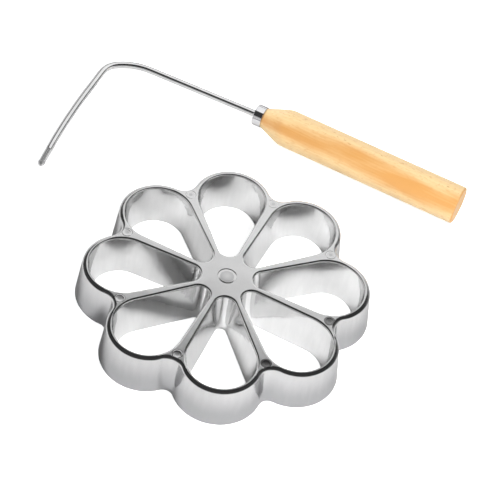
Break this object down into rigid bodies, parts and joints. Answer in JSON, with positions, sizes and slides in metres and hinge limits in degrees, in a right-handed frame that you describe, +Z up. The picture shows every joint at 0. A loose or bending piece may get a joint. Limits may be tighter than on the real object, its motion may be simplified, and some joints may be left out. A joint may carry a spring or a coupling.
{
  "type": "rosette iron",
  "caption": "Cast aluminium flower mould for frying batter rosettes, with its screw-in bent rod handle and wooden grip lying beside it.",
  "frame": {"origin": "centre of the bounding box of the mould and the handle together, at its bottom, on the table they rest on", "axes": "+Z up, from the table towards the mould's dipping edge; +X along the axis of one petal of the mould"},
  "size_m": [0.2146, 0.2166, 0.0213],
  "materials": {
    "cast_aluminium": "satin as-cast, brighter on the rim",
    "bright_steel": "bright plated wire",
    "chrome": "polished",
    "pale_wood": "clear satin lacquer on pale turned wood"
  },
  "bodies": {
    "mould": {"flower_mould": "cast_aluminium"},
    "handle": {"handle_rod": "bright_steel", "ferrule": "chrome", "wooden_grip": "pale_wood"}
  },
  "joints": [
    {"name": "handle_lift", "type": "slide", "parent": "mould", "child": "handle", "axis": [0, 0, 1], "range_m": [0, 0.1]}
  ]
}
